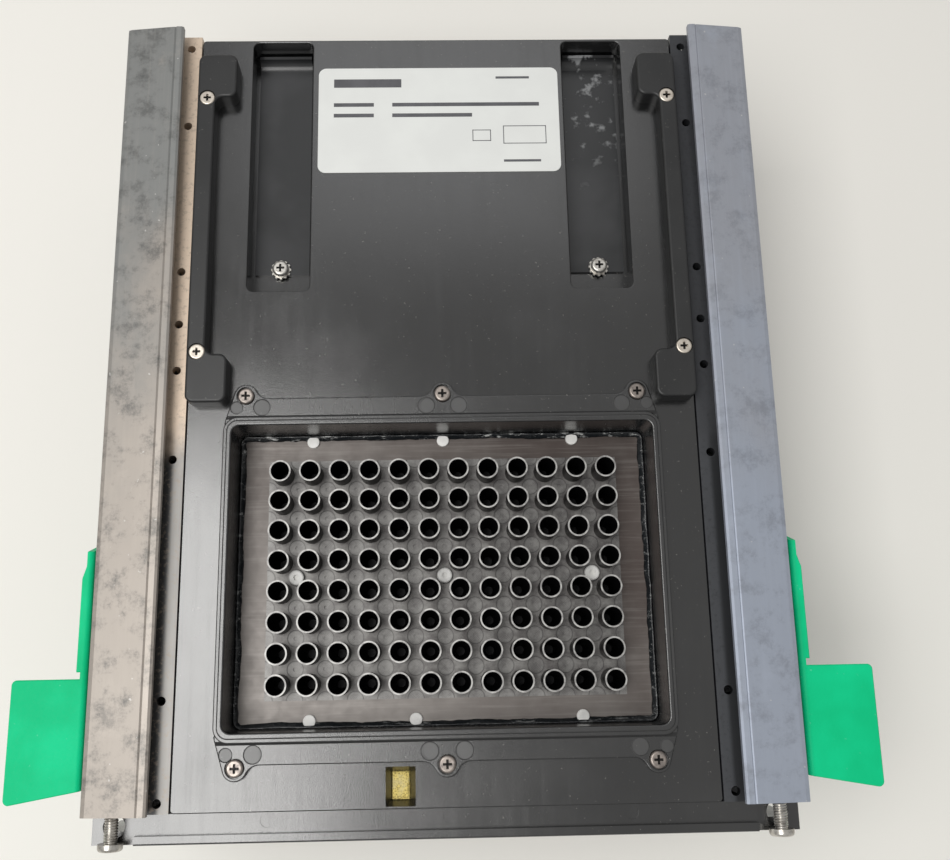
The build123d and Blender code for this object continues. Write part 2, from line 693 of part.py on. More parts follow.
with BuildPart() as left_release_lever:
    mirror(right_release_lever.part, about=Plane.YZ)
left_release_lever.part.label = "left_release_lever"
export_step(left_release_lever.part, "parts/left_release_lever.step")

pin_end = 107.4
clip_in, clip_t = lever_inner + lever_t + 0.15, 0.8
clip_groove_r = 2.4
with BuildPart() as lever_pivot_pins:
    with BuildSketch(Plane.YZ.offset(chassis_half - sheet)):
        with Locations((pivot_y, pivot_z)):
            Circle(pin_r)
    extrude(amount=pin_end - chassis_half + sheet)
    with BuildSketch(Plane.YZ.offset(chassis_half - sheet)):
        with Locations((pivot_y, pivot_z)):
            Circle(4.8)
    extrude(amount=-1.8)
    chamfer(lever_pivot_pins.edges().group_by(Axis.X)[-1], 0.4)
    with BuildSketch(Plane.YZ.offset(clip_in)):
        with Locations((pivot_y, pivot_z)):
            Circle(pin_r)
            Circle(clip_groove_r, mode=Mode.SUBTRACT)
    extrude(amount=clip_t, mode=Mode.SUBTRACT)
    mirror(about=Plane.YZ)
lever_pivot_pins.part.label = "lever_pivot_pins"
export_step(lever_pivot_pins.part, "parts/lever_pivot_pins.step")

with BuildPart() as lever_retaining_rings:
    with BuildSketch(Plane.YZ.offset(clip_in)):
        with Locations((pivot_y, pivot_z)):
            Circle(4.7)
            Circle(clip_groove_r, mode=Mode.SUBTRACT)
        with Locations((pivot_y, pivot_z - 3.6)):
            Rectangle(2.4, 3.4, mode=Mode.SUBTRACT)
    extrude(amount=clip_t)
    mirror(about=Plane.YZ)
lever_retaining_rings.part.label = "lever_retaining_rings"
export_step(lever_retaining_rings.part, "parts/lever_retaining_rings.step")

with BuildPart() as lever_spacers:
    with BuildSketch(Plane.YZ.offset(rail_outer)):
        with Locations((pivot_y, pivot_z)):
            Circle(6.0)
            Circle(pin_r, mode=Mode.SUBTRACT)
    extrude(amount=lever_inner - rail_outer - 0.2)
    mirror(about=Plane.YZ)
lever_spacers.part.label = "lever_spacers"
export_step(lever_spacers.part, "parts/lever_spacers.step")

with BuildPart() as lever_stop_pins:
    with BuildSketch(Plane.YZ.offset(rail_skin)):
        with Locations((stop_y, stop_z)):
            Circle(stop_r - 0.5)
    extrude(amount=rail_outer - rail_skin)
    with BuildSketch(Plane.YZ.offset(rail_outer)):
        with Locations((stop_y, stop_z)):
            Circle(stop_r)
    extrude(amount=lever_inner + lever_t - rail_outer)
    fillet(lever_stop_pins.edges().group_by(Axis.X)[-1], 0.5)
    mirror(about=Plane.YZ)
lever_stop_pins.part.label = "lever_stop_pins"
export_step(lever_stop_pins.part, "parts/lever_stop_pins.step")

# ---------------------------------------------------------------- chassis
inlet_half, inlet_front, inlet_rear = 70.0, -106.0, 4.0
chassis_length = chassis_rear - chassis_front
side_wall_top = 90.7
wall_screw_points = [(y, z) for y in (-110.0, 118.0) for z in (20.0, 38.0)]
tab_h = 34.0
angle_screw_points = [(y, 55.0) for y in (-100.0, -51.0, -2.0)]
tab_screw_r = 1.6

with BuildPart() as chassis_tray:
    with BuildSketch(Plane.XZ.offset(-chassis_rear)):
        with BuildLine():
            Polyline((-chassis_half, 0), (chassis_half, 0), (chassis_half, side_wall_top),
                     (chassis_half - sheet, side_wall_top), (chassis_half - sheet, floor_t),
                     (-chassis_half + sheet, floor_t), (-chassis_half + sheet, side_wall_top),
                     (-chassis_half, side_wall_top), close=True)
        make_face()
    extrude(amount=chassis_length)
    with BuildSketch(Plane.XY):
        with Locations((0, (inlet_front + inlet_rear) / 2)):
            RectangleRounded(2 * inlet_half, inlet_rear - inlet_front, 6)
    extrude(amount=floor_t, mode=Mode.SUBTRACT)
    with BuildSketch(Plane.YZ.offset(-chassis_half)):
        with Locations(*side_screw_points, *wall_screw_points, *angle_screw_points):
            Circle(tab_screw_r)
        with Locations((pivot_y, pivot_z)):
            Circle(pin_r)
        # Side vents beside the fins.
        for row_z in (24.0, 32.0, 40.0):
            with Locations((well_y, row_z)):
                with GridLocations(17.0, 1.0, 6, 1):
                    SlotOverall(13.0, 3.4)
    extrude(amount=2 * chassis_half, mode=Mode.SUBTRACT)
chassis_tray.part.label = "chassis_tray"
export_step(chassis_tray.part, "parts/chassis_tray.step")

end_half = chassis_half - sheet - 0.1
end_top = pocket_floor - pocket_wall - 0.2
with BuildPart() as chassis_front_wall:
    with BuildSketch(Plane.XZ.offset(-(chassis_front + sheet))):
        with Locations((0, (end_top + floor_t) / 2)):
            Rectangle(2 * end_half, end_top - floor_t)
    extrude(amount=sheet)
    with BuildSketch(Plane.XY.offset(floor_t + 10)):
        for side in (-1, 1):
            with Locations((side * (end_half - 1), chassis_front + sheet + 5)):
                Rectangle(2, 10)
    extrude(amount=tab_h)
    with BuildSketch(Plane.XZ.offset(-(chassis_front + sheet))):
        with Locations((0, 40)):
            with GridLocations(9.0, 1.0, 13, 1):
                SlotOverall(40, 3.4, rotation=90)
    extrude(amount=sheet, mode=Mode.SUBTRACT)
    with BuildSketch(Plane.YZ.offset(-end_half)):
        with Locations(*wall_screw_points[:2]):
            Circle(tab_screw_r)
    extrude(amount=2 * end_half, mode=Mode.SUBTRACT)
chassis_front_wall.part.label = "chassis_front_wall"
export_step(chassis_front_wall.part, "parts/chassis_front_wall.step")

socket_half, socket_low, socket_high = 36.0, 24.0, 44.0
with BuildPart() as chassis_rear_wall:
    with BuildSketch(Plane.XZ.offset(-chassis_rear)):
        with Locations((0, (end_top + floor_t) / 2)):
            Rectangle(2 * end_half, end_top - floor_t)
    extrude(amount=sheet)
    with BuildSketch(Plane.XY.offset(floor_t + 10)):
        for side in (-1, 1):
            with Locations((side * (end_half - 1), chassis_rear - sheet - 5)):
                Rectangle(2, 10)
    extrude(amount=tab_h)
    with BuildSketch(Plane.XZ.offset(-chassis_rear)):
        with Locations((0, (socket_low + socket_high) / 2)):
            Rectangle(2 * socket_half + 0.4, socket_high - socket_low + 0.4)
        with Locations((0, 62)):
            with GridLocations(9.0, 1.0, 15, 1):
                SlotOverall(20, 3.4, rotation=90)
    extrude(amount=sheet, mode=Mode.SUBTRACT)
    with BuildSketch(Plane.YZ.offset(-end_half)):
        with Locations(*wall_screw_points[2:]):
            Circle(tab_screw_r)
    extrude(amount=2 * end_half, mode=Mode.SUBTRACT)
chassis_rear_wall.part.label = "chassis_rear_wall"
export_step(chassis_rear_wall.part, "parts/chassis_rear_wall.step")

with BuildPart() as chassis_screws:
    with BuildSketch(Plane.YZ.offset(end_half - 2)):
        with Locations(*wall_screw_points):
            Circle(tab_screw_r)
    extrude(amount=chassis_half - end_half + 2)
    with BuildSketch(Plane.YZ.offset(chassis_half - sheet - 2)):
        with Locations(*angle_screw_points):
            Circle(tab_screw_r)
    extrude(amount=sheet + 2)
    with BuildSketch(Plane.YZ.offset(chassis_half)):
        with Locations(*wall_screw_points, *angle_screw_points):
            Circle(2.9)
    extrude(amount=1.4)
    fillet(chassis_screws.edges().group_by(Axis.X)[-1], 0.6)
    with BuildSketch(Plane.YZ.offset(chassis_half + 1.4)):
        with Locations(*wall_screw_points, *angle_screw_points):
            Rectangle(2.8, 0.7)
            Rectangle(0.7, 2.8)
    extrude(amount=-0.8, mode=Mode.SUBTRACT)
    mirror(about=Plane.YZ)
chassis_screws.part.label = "chassis_screws"
export_step(chassis_screws.part, "parts/chassis_screws.step")

# ---------------------------------------------------------------- heat sink
fin_t, fin_pitch, fin_count = 1.3, 4.4, 33
angle_t = 2.0
sink_base_bottom = sink_top - sink_base_t
sink_screw_points = [(s * 82.0, y) for s in (-1, 1) for y in (-95.0, -51.0, -7.0)]
sink_probe = (30.0, 65.0)
sink_probe_r, sink_probe_depth = 1.5, 20.0

with BuildPart() as heat_sink:
    with BuildSketch(Plane.XY.offset(sink_base_bottom)):
        with Locations(well_grid()):
            Rectangle(2 * sink_half, sink_rear - sink_front)
    extrude(amount=sink_base_t)
    with BuildSketch(Plane.XY.offset(fin_bottom)):
        with Locations(well_grid()):
            with GridLocations(fin_pitch, 1.0, fin_count, 1):
                Rectangle(fin_t, sink_rear - sink_front)
    extrude(amount=sink_base_bottom - fin_bottom)
    with BuildSketch(Plane.XY.offset(screw_end)):
        with Locations(*centre_screw_points):
            Circle(centre_screw_r)
        with Locations(*edge_screw_points):
            Circle(edge_screw_r)
    extrude(amount=sink_top - screw_end, mode=Mode.SUBTRACT)
    with BuildSketch(Plane.XY.offset(sink_base_bottom)):
        with Locations(*sink_screw_points):
            Circle(1.5)
    extrude(amount=6, mode=Mode.SUBTRACT)
    with BuildSketch(Plane.XZ.offset(-sink_rear)):
        with Locations(sink_probe):
            Circle(sink_probe_r)
    extrude(amount=sink_probe_depth, mode=Mode.SUBTRACT)
heat_sink.part.label = "heat_sink"
export_step(heat_sink.part, "parts/heat_sink.step")

with BuildPart() as sink_support_angles:
    with BuildSketch(Plane.XZ.offset(-sink_rear)):
        with BuildLine():
            Polyline((76.0, sink_base_bottom - angle_t), (94.0, sink_base_bottom - angle_t),
                     (94.0, 48.0), (96.0, 48.0), (96.0, sink_base_bottom),
                     (76.0, sink_base_bottom), close=True)
        make_face()
    extrude(amount=sink_rear - sink_front)
    with BuildSketch(Plane.XY.offset(sink_base_bottom - angle_t)):
        with Locations(*sink_screw_points[3:]):
            Circle(1.5)
    extrude(amount=angle_t, mode=Mode.SUBTRACT)
    with BuildSketch(Plane.YZ.offset(94.0)):
        with Locations(*angle_screw_points):
            Circle(tab_screw_r)
    extrude(amount=2, mode=Mode.SUBTRACT)
    mirror(about=Plane.YZ)
sink_support_angles.part.label = "sink_support_angles"
export_step(sink_support_angles.part, "parts/sink_support_angles.step")

with BuildPart() as sink_screws:
    with BuildSketch(Plane.XY.offset(sink_base_bottom - angle_t)):
        with Locations(*sink_screw_points):
            Circle(1.5)
    extrude(amount=angle_t + 6)
    with BuildSketch(Plane.XY.offset(sink_base_bottom - angle_t)):
        with Locations(*sink_screw_points):
            Circle(2.8)
    extrude(amount=-2.2)
sink_screws.part.label = "sink_screws"
export_step(sink_screws.part, "parts/sink_screws.step")

# ---------------------------------------------------------------- thermoelectric stack
module_size = 38.0
module_dx, module_dy = 40.5, 43.0
pad_t = 0.3
ceramic_t = 0.8
module_bottom = sink_top + pad_t
module_top = plate_bottom - pad_t


def module_layer(bottom, thickness, size):
    """Six square slabs, one at each thermoelectric module."""
    with BuildPart() as layer:
        with BuildSketch(Plane.XY.offset(bottom)):
            with Locations(well_grid()):
                with GridLocations(module_dx, module_dy, 3, 2):
                    Rectangle(size, size)
        extrude(amount=thickness)
    return layer


lower_thermal_pads = module_layer(sink_top, pad_t, module_size)
lower_thermal_pads.part.label = "lower_thermal_pads"
export_step(lower_thermal_pads.part, "parts/lower_thermal_pads.step")

lower_ceramic_plates = module_layer(module_bottom, ceramic_t, module_size)
lower_ceramic_plates.part.label = "lower_ceramic_plates"
export_step(lower_ceramic_plates.part, "parts/lower_ceramic_plates.step")

pellet_h = module_top - module_bottom - 2 * ceramic_t
semiconductor_pellets = module_layer(module_bottom + ceramic_t, pellet_h, module_size - 3)
semiconductor_pellets.part.label = "semiconductor_pellets"
export_step(semiconductor_pellets.part, "parts/semiconductor_pellets.step")

upper_ceramic_plates = module_layer(module_top - ceramic_t, ceramic_t, module_size)
upper_ceramic_plates.part.label = "upper_ceramic_plates"
export_step(upper_ceramic_plates.part, "parts/upper_ceramic_plates.step")

upper_thermal_pads = module_layer(module_top, pad_t, module_size)
upper_thermal_pads.part.label = "upper_thermal_pads"
export_step(upper_thermal_pads.part, "parts/upper_thermal_pads.step")

lead_z = module_bottom + ceramic_t + pellet_h / 2
lead_r = 0.8
lead_front = well_y + module_dy / 2 + (module_size - 3) / 2
lead_rear = 24.0
lead_xs = [c * module_dx + s * 14.0 for c in (-1, 0, 1) for s in (-1, 1)]

with BuildPart() as insulation_gasket:
    with BuildSketch(Plane.XY.offset(sink_top)):
        with Locations(well_grid()):
            RectangleRounded(plate_x, plate_y, 4)
            Rectangle(2 * 60.8, 2 * 44.2, mode=Mode.SUBTRACT)
    extrude(amount=plate_bottom - sink_top)
    with BuildSketch(Plane.XZ.offset(-(well_y + plate_y / 2))):
        with Locations(*[(x, lead_z) for x in lead_xs]):
            Rectangle(2 * lead_r + 0.2, 2 * lead_r + 0.2)
    extrude(amount=6, mode=Mode.SUBTRACT)
insulation_gasket.part.label = "insulation_gasket"
export_step(insulation_gasket.part, "parts/insulation_gasket.step")

with BuildPart() as module_leads:
    with BuildSketch(Plane.XZ.offset(-lead_rear)):
        with Locations(*[(x, lead_z) for x in lead_xs]):
            Circle(lead_r)
    extrude(amount=lead_rear - lead_front)
module_leads.part.label = "module_leads"
export_step(module_leads.part, "parts/module_leads.step")

with BuildPart() as block_probes:
    with BuildSketch(Plane.XZ.offset(-(well_y + plate_y / 2 + 6))):
        with Locations(*[(x, 77.0) for x in probe_points]):
            Circle(probe_r)
    extrude(amount=probe_depth + 6)
block_probes.part.label = "block_probes"
export_step(block_probes.part, "parts/block_probes.step")

with BuildPart() as sink_probe_piece:
    with BuildSketch(Plane.XZ.offset(-(sink_rear + 5))):
        with Locations(sink_probe):
            Circle(sink_probe_r)
    extrude(amount=sink_probe_depth + 5)
sink_probe_piece.part.label = "sink_probe"
export_step(sink_probe_piece.part, "parts/sink_probe.step")

# ---------------------------------------------------------------- electronics bay
board_z, board_t = 18.0, 1.6
board_x, board_front, board_rear = 140.0, 26.0, 112.0
board_mid = (board_front + board_rear) / 2
standoff_points = [(x, y) for x in (-62.0, 62.0) for y in (32.0, 104.0)]
standoff_r = 3.0
board_screw_r = 1.25

with BuildPart() as board_standoffs:
    with BuildSketch(Plane.XY.offset(floor_t)):
        with Locations(*standoff_points):
            RegularPolygon(standoff_r, 6)
            Circle(board_screw_r, mode=Mode.SUBTRACT)
    extrude(amount=board_z - floor_t)
board_standoffs.part.label = "board_standoffs"
export_step(board_standoffs.part, "parts/board_standoffs.step")

with BuildPart() as control_board:
    with BuildSketch(Plane.XY.offset(board_z)):
        with Locations((0, board_mid)):
            RectangleRounded(board_x, board_rear - board_front, 2)
        with Locations(*standoff_points):
            Circle(board_screw_r, mode=Mode.SUBTRACT)
    extrude(amount=board_t)
control_board.part.label = "control_board"
export_step(control_board.part, "parts/control_board.step")

with BuildPart() as board_screws:
    with BuildSketch(Plane.XY.offset(board_z - 8)):
        with Locations(*standoff_points):
            Circle(board_screw_r)
    extrude(amount=board_t + 8)
    with BuildSketch(Plane.XY.offset(board_z + board_t)):
        with Locations(*standoff_points):
            Circle(2.4)
    extrude(amount=1.8)
board_screws.part.label = "board_screws"
export_step(board_screws.part, "parts/board_screws.step")

board_top = board_z + board_t
chips = ((-45, 60, 14, 14, 2.2), (-20, 58, 10, 22, 2.6), (8, 62, 18, 12, 3.0), (38, 60, 12, 12, 8.0))
with BuildPart() as board_components:
    for chip_x, chip_y, chip_w, chip_l, chip_h in chips:
        with BuildSketch(Plane.XY.offset(board_top)):
            with Locations((chip_x, chip_y)):
                Rectangle(chip_w, chip_l)
        extrude(amount=chip_h)
    with BuildSketch(Plane.XY.offset(board_top)):
        with Locations((0, 38)):
            with GridLocations(22.0, 1.0, 5, 1):
                Circle(5.0)
    extrude(amount=16)
board_components.part.label = "board_components"
export_step(board_components.part, "parts/board_components.step")

socket_front = 98.0
socket_wall = 2.5
with BuildPart() as rear_connector:
    with BuildSketch(Plane.XZ.offset(-module_rear)):
        with Locations((0, (socket_low + socket_high) / 2)):
            RectangleRounded(2 * socket_half, socket_high - socket_low, 2)
    extrude(amount=module_rear - socket_front)
    with BuildSketch(Plane.XZ.offset(-module_rear)):
        with Locations((0, (socket_low + socket_high) / 2)):
            RectangleRounded(2 * (socket_half - socket_wall),
                             socket_high - socket_low - 2 * socket_wall, 1)
    extrude(amount=14, mode=Mode.SUBTRACT)
    with BuildSketch(Plane.XZ.offset(-(module_rear - 14))):
        with Locations((0, (socket_low + socket_high) / 2)):
            with GridLocations(5.0, 7.0, 12, 2):
                Rectangle(1.6, 1.6)
    extrude(amount=6, mode=Mode.SUBTRACT)
    # Feet down to the circuit board.
    with BuildSketch(Plane.XY.offset(board_top)):
        for side in (-1, 1):
            with Locations((side * 28, (socket_front + board_rear) / 2)):
                Rectangle(8, board_rear - socket_front)
    extrude(amount=socket_low - board_top)
rear_connector.part.label = "rear_connector"
export_step(rear_connector.part, "parts/rear_connector.step")

with BuildPart() as connector_contacts:
    with BuildSketch(Plane.XZ.offset(-(module_rear - 4))):
        with Locations((0, (socket_low + socket_high) / 2)):
            with GridLocations(5.0, 7.0, 12, 2):
                Rectangle(1.6, 1.6)
    extrude(amount=16)
connector_contacts.part.label = "connector_contacts"
export_step(connector_contacts.part, "parts/connector_contacts.step")
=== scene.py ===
import math

import bpy
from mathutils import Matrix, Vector, noise


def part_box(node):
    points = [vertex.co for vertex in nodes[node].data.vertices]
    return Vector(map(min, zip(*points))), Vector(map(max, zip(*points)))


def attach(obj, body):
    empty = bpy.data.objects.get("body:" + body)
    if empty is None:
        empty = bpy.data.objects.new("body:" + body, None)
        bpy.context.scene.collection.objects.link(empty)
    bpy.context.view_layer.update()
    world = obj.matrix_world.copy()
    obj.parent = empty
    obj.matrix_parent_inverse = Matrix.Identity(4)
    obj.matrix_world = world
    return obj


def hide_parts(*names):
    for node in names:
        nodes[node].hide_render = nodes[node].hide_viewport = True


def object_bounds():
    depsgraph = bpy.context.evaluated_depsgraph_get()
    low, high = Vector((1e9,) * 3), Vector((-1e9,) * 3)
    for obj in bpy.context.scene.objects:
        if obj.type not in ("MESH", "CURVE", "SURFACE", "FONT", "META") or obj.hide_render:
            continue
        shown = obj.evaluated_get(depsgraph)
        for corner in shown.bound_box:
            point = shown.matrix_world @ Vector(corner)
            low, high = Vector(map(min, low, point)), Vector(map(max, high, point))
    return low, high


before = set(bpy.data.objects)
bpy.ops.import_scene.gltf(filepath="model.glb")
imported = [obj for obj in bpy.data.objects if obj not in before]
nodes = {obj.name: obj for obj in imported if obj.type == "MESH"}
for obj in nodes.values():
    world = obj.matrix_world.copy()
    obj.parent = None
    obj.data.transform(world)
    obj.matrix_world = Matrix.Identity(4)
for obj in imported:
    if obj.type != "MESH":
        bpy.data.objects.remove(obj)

# Metres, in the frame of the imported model: X across, +Y towards the rear, +Z up.
MM = 0.001
cad_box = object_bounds()
BODY = "module_body"

block_lo, block_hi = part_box("sample_block")
deck_top = 94.0 * MM
rim_z = block_hi.z
plate_top = rim_z - 9.5 * MM

# Wells: the middle of their grid, its pitch, half the area that they fill, and the radii of a
# bore, of the inside of a bright rim, and of a spot face between wells.
grid = Vector((0.0, (block_lo.y + block_hi.y) / 2, rim_z))
pitch = 9.0 * MM
grid_half = (54.0 * MM, 36.0 * MM)
bore_radius = 2.78 * MM
rim_inner = 2.74 * MM
spot_radius = 2.4 * MM

# Well frame: half its wall's outer size, and its moulding marks as (|x|, radius), all at one
# distance before and behind the middle of the grid.
wall_half = (65.7 * MM, 46.8 * MM)
mark_row = 49.9 * MM
frame_mark_discs = ((62.1 * MM, 1.9 * MM), (54.5 * MM, 2.5 * MM), (4.9 * MM, 2.5 * MM))

# Rails: the outer edge of the ledge, where the painted shadow under the lip darkens the ledge, and
# where the ledge's darker front part, painted shade, gives way to the rest.
ledge_edge = 84.6 * MM
lip_shadow_band = (80.0 * MM, 81.6 * MM)
ledge_shade_end = (-12.0 * MM, 6.0 * MM)

# Screw centres as (|x|, y).
bracket_screw_centres = [(73.8 * MM, 15.4 * MM), (73.8 * MM, 99.9 * MM)]
strip_screw_centres = [(51.4 * MM, 47.2 * MM)]
frame_screw_centres = [(x, grid.y + y) for x in (0.0, 59.4 * MM) for y in (-53.5 * MM, 53.5 * MM)]

# Sealant path: the size and corner radius of the rounded rectangle that it follows.
opening_size = (126.0 * MM, 88.0 * MM)
opening_corner = 2.5 * MM

# Higher than the 1.5 of real plastic: the mouldings mirror the window light this strongly.
GLOSSY_IOR = 1.9


# ---------------------------------------------------------------- node helpers
class Shader:
    """A material with short calls for adding and joining its nodes."""

    def __init__(self, name, roughness=0.5, metallic=0.0, colour=(0.5, 0.5, 0.5)):
        self.material = bpy.data.materials.new(name)
        self.material.use_nodes = True
        self.tree = self.material.node_tree
        self.bsdf = self.tree.nodes["Principled BSDF"]
        self.bsdf.inputs["Roughness"].default_value = roughness
        self.bsdf.inputs["Metallic"].default_value = metallic
        self.bsdf.inputs["Base Color"].default_value = (*colour, 1.0)
        self.place = self.add("ShaderNodeTexCoord").outputs["Object"]

    def add(self, kind):
        """A new node of the given kind."""
        return self.tree.nodes.new(kind)

    def join(self, source, socket):
        """Feeds a socket from another socket, or sets it to a number or colour."""
        if isinstance(source, (int, float)):
            socket.default_value = source
        elif isinstance(source, tuple):
            socket.default_value = (*source, 1.0) if len(source) == 3 else source
        else:
            self.tree.links.new(source, socket)

    def noise(self, size, detail=3.0, roughness=0.55, stretch=(1, 1, 1), offset=(0, 0, 0)):
        """Noise whose features are about size metres, pulled out along an axis by stretch."""
        mapping = self.add("ShaderNodeMapping")
        mapping.inputs["Scale"].default_value = [1.0 / s for s in stretch]
        mapping.inputs["Location"].default_value = offset
        self.join(self.place, mapping.inputs["Vector"])
        node = self.add("ShaderNodeTexNoise")
        node.inputs["Scale"].default_value = 1.0 / size
        node.inputs["Detail"].default_value = detail
        node.inputs["Roughness"].default_value = roughness
        self.join(mapping.outputs["Vector"], node.inputs["Vector"])
        return node.outputs["Fac"]

    def cells(self, size):
        """Distance to the nearest of scattered points about size metres apart."""
        node = self.add("ShaderNodeTexVoronoi")
        node.inputs["Scale"].default_value = 1.0 / size
        self.join(self.place, node.inputs["Vector"])
        return node.outputs["Distance"]

    def axis(self, which):
        """The shaded point's x, y or z, for which = 0, 1 or 2."""
        node = self.add("ShaderNodeSeparateXYZ")
        self.join(self.place, node.inputs[0])
        return node.outputs[which]

    def math(self, operation, a, b=0.0, c=0.0, clamp=False):
        node = self.add("ShaderNodeMath")
        node.operation = operation
        node.use_clamp = clamp
        for value, socket in zip((a, b, c), node.inputs):
            self.join(value, socket)
        return node.outputs[0]

    def span(self, value, low, high, out_low=0.0, out_high=1.0):
        """Maps low..high to out_low..out_high, smoothly and clamped."""
        node = self.add("ShaderNodeMapRange")
        node.interpolation_type = "SMOOTHSTEP"
        for source, name in ((value, "Value"), (low, "From Min"), (high, "From Max"),
                             (out_low, "To Min"), (out_high, "To Max")):
            self.join(source, node.inputs[name])
        return node.outputs["Result"]

    def mix(self, factor, a, b):
        """A colour from a, at factor 0, to b, at factor 1."""
        node = self.add("ShaderNodeMix")
        node.data_type = "RGBA"
        first, second = [i for i in node.inputs if i.type == "RGBA"]
        self.join(factor, node.inputs["Factor"])
        self.join(a, first)
        self.join(b, second)
        return [o for o in node.outputs if o.type == "RGBA"][0]

    def colour(self, source):
        self.join(source, self.bsdf.inputs["Base Color"])

    def rough(self, source):
        self.join(source, self.bsdf.inputs["Roughness"])

    def bump(self, height, distance, strength=1.0):
        node = self.add("ShaderNodeBump")
        node.inputs["Distance"].default_value = distance
        node.inputs["Strength"].default_value = strength
        self.join(height, node.inputs["Height"])
        self.join(node.outputs["Normal"], self.bsdf.inputs["Normal"])


# ---------------------------------------------------------------- materials
def moulded_black(name, base, roughness, ior=GLOSSY_IOR, dust=0.5, grain=0.7, seed=0.0,
                  marks=None):
    """Satin black moulding with fine grain, dull patches, fine scuffs and specks of dust."""
    s = Shader(name)
    s.bsdf.inputs["IOR"].default_value = ior
    shift = (seed, seed * 0.7, 0)
    patches = s.noise(60 * MM, 4, 0.6, offset=shift)
    scuffs = s.noise(3 * MM, 5, 0.7, stretch=(1, 14, 1), offset=shift)
    specks = s.span(s.noise(0.9 * MM, 2, 0.5, offset=shift), 0.70, 0.76)
    dark = tuple(base * k for k in (0.95, 1.0, 1.06))
    light = tuple(base * k for k in (2.0, 2.05, 2.1))
    shade = s.mix(s.span(patches, 0.35, 0.7), dark, light)
    shade = s.mix(s.math("MULTIPLY", specks, dust), shade, (0.16, 0.155, 0.14))
    s.colour(shade)
    wear = s.math("MULTIPLY_ADD", s.span(scuffs, 0.45, 0.75), 0.05, roughness)
    rough = s.math("MULTIPLY_ADD", s.span(patches, 0.4, 0.7), 0.08, wear)
    if marks is not None:
        rough = s.math("ADD", marks(s), rough, clamp=True)
    s.rough(rough)
    s.bump(s.noise(0.35 * MM, 3, 0.6), 0.03 * MM, grain)
    return s.material


def frame_marks(s):
    """Extra roughness on the well frame: moulding marks, and dirt in the corner round its wall."""
    off_x = s.math("ABSOLUTE", s.axis(0))
    off_y = s.math("ABSOLUTE", s.math("SUBTRACT", s.axis(1), grid.y))
    total = 0.0
    for place, radius in frame_mark_discs:
        dx = s.math("SUBTRACT", off_x, place)
        dy = s.math("SUBTRACT", off_y, mark_row)
        away = s.math("SQRT", s.math("ADD", s.math("MULTIPLY", dx, dx), s.math("MULTIPLY", dy, dy)))
        total = s.math("MULTIPLY_ADD", s.math("LESS_THAN", away, radius), 0.16, total)
        ring = s.math("ABSOLUTE", s.math("SUBTRACT", away, radius))
        total = s.math("MULTIPLY_ADD", s.math("LESS_THAN", ring, 0.14 * MM), 0.5, total)
    outside = s.math("MAXIMUM", s.math("SUBTRACT", off_x, wall_half[0]),
                     s.math("SUBTRACT", off_y, wall_half[1]))
    corner = s.math("MULTIPLY", s.math("LESS_THAN", s.math("ABSOLUTE", outside), 0.55 * MM),
                    s.math("LESS_THAN", s.axis(2), deck_top + 3.0 * MM))
    return s.math("MULTIPLY_ADD", corner, 0.8, total)


def pocket_black():
    """Glossier black with dried, pale water marks in the right-hand pocket."""
    s = Shader("pocket_black", roughness=0.3)
    marks = s.math("MULTIPLY", s.span(s.noise(5 * MM, 6, 0.62), 0.56, 0.66),
                   s.span(s.axis(0), 0.0, 10 * MM))
    near = s.span(s.axis(1), 70 * MM, 100 * MM)
    marks = s.math("MULTIPLY", marks, near)
    shade = s.mix(s.span(s.noise(30 * MM), 0.4, 0.65), (0.018, 0.019, 0.02), (0.035, 0.036, 0.038))
    s.colour(s.mix(s.math("MULTIPLY", marks, 0.55), shade, (0.42, 0.43, 0.44)))
    s.rough(s.math("MULTIPLY_ADD", marks, 0.3, 0.27))
    s.bump(s.noise(0.4 * MM, 2), 0.02 * MM, 0.5)
    return s.material


